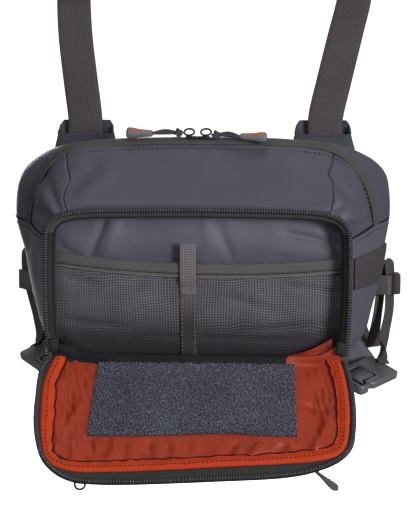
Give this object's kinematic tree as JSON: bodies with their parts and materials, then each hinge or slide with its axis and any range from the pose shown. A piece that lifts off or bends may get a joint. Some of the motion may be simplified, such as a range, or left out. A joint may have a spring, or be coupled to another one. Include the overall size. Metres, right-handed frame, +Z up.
{
  "type": "chest pack",
  "caption": "Soft boxy chest pack on a two-strap harness, with a zipped main compartment and a front pocket folded down as a lined work flap.",
  "frame": {"origin": "on the back panel's face towards the wearer, between its sides", "axes": "+Y towards the wearer, +Z up, +X to the right as seen from the front"},
  "size_m": [0.2883, 0.277, 0.397],
  "materials": {
    "shell": "coated slate cloth",
    "back": "padded dark cloth",
    "webbing": "ribbed grey-brown webbing",
    "tape": "olive-grey zip tape",
    "mesh": "grey net",
    "binding": "warm grey grosgrain",
    "strip": "pinkish grey webbing",
    "lining": "burnt-orange ripstop",
    "orange": "bright orange binding",
    "patch": "blue-grey loop pile",
    "coil": "black",
    "rubber": "grey moulded rubber",
    "plastic": "dark grey moulded",
    "metal": "grey metal",
    "sleeve": "dark blue-black cloth",
    "cord": "braided dark cord"
  },
  "bodies": {
    "root": {"rear_wall": "shell", "front_wall": "shell", "top_zip": "tape", "side_wall": "shell", "back_panel": "back", "pocket_back": "shell", "mesh_pocket": "mesh", "mesh_binding": "binding", "center_webbing": "strip", "pocket_zip": "tape", "flap_zip": "tape", "flap_binding": "orange", "flap_lining": "lining", "flap_shell": "shell", "loop_patch": "patch", "flap_ring": "metal", "flap_pull": "rubber", "side_webbing": "webbing", "pocket_fold_left": "shell", "pocket_fold_right": "orange", "strap_end_right": "webbing", "zip_end_left": "coil", "zip_end_right": "coil", "top_slider_left": "metal", "top_slider_right": "metal", "pull_ring_left": "metal", "pull_ring_right": "metal", "pull_cord_left": "cord", "pull_cord_right": "cord", "pull_tab_left": "rubber", "pull_tab_right": "rubber", "strap_sleeve_left": "sleeve", "strap_sleeve_right": "sleeve", "shoulder_strap_left": "webbing", "shoulder_strap_right": "webbing", "strap_adjuster_left": "plastic", "strap_adjuster_right": "plastic", "rear_strap_left": "webbing", "rear_strap_right": "webbing", "strap_keeper_left": "binding", "strap_keeper_right": "binding", "buckle_socket_left": "plastic", "buckle_socket_right": "plastic", "buckle_prong_left": "plastic", "buckle_prong_right": "plastic", "corner_webbing_left": "webbing", "corner_webbing_right": "webbing"}
  },
  "joints": []
}
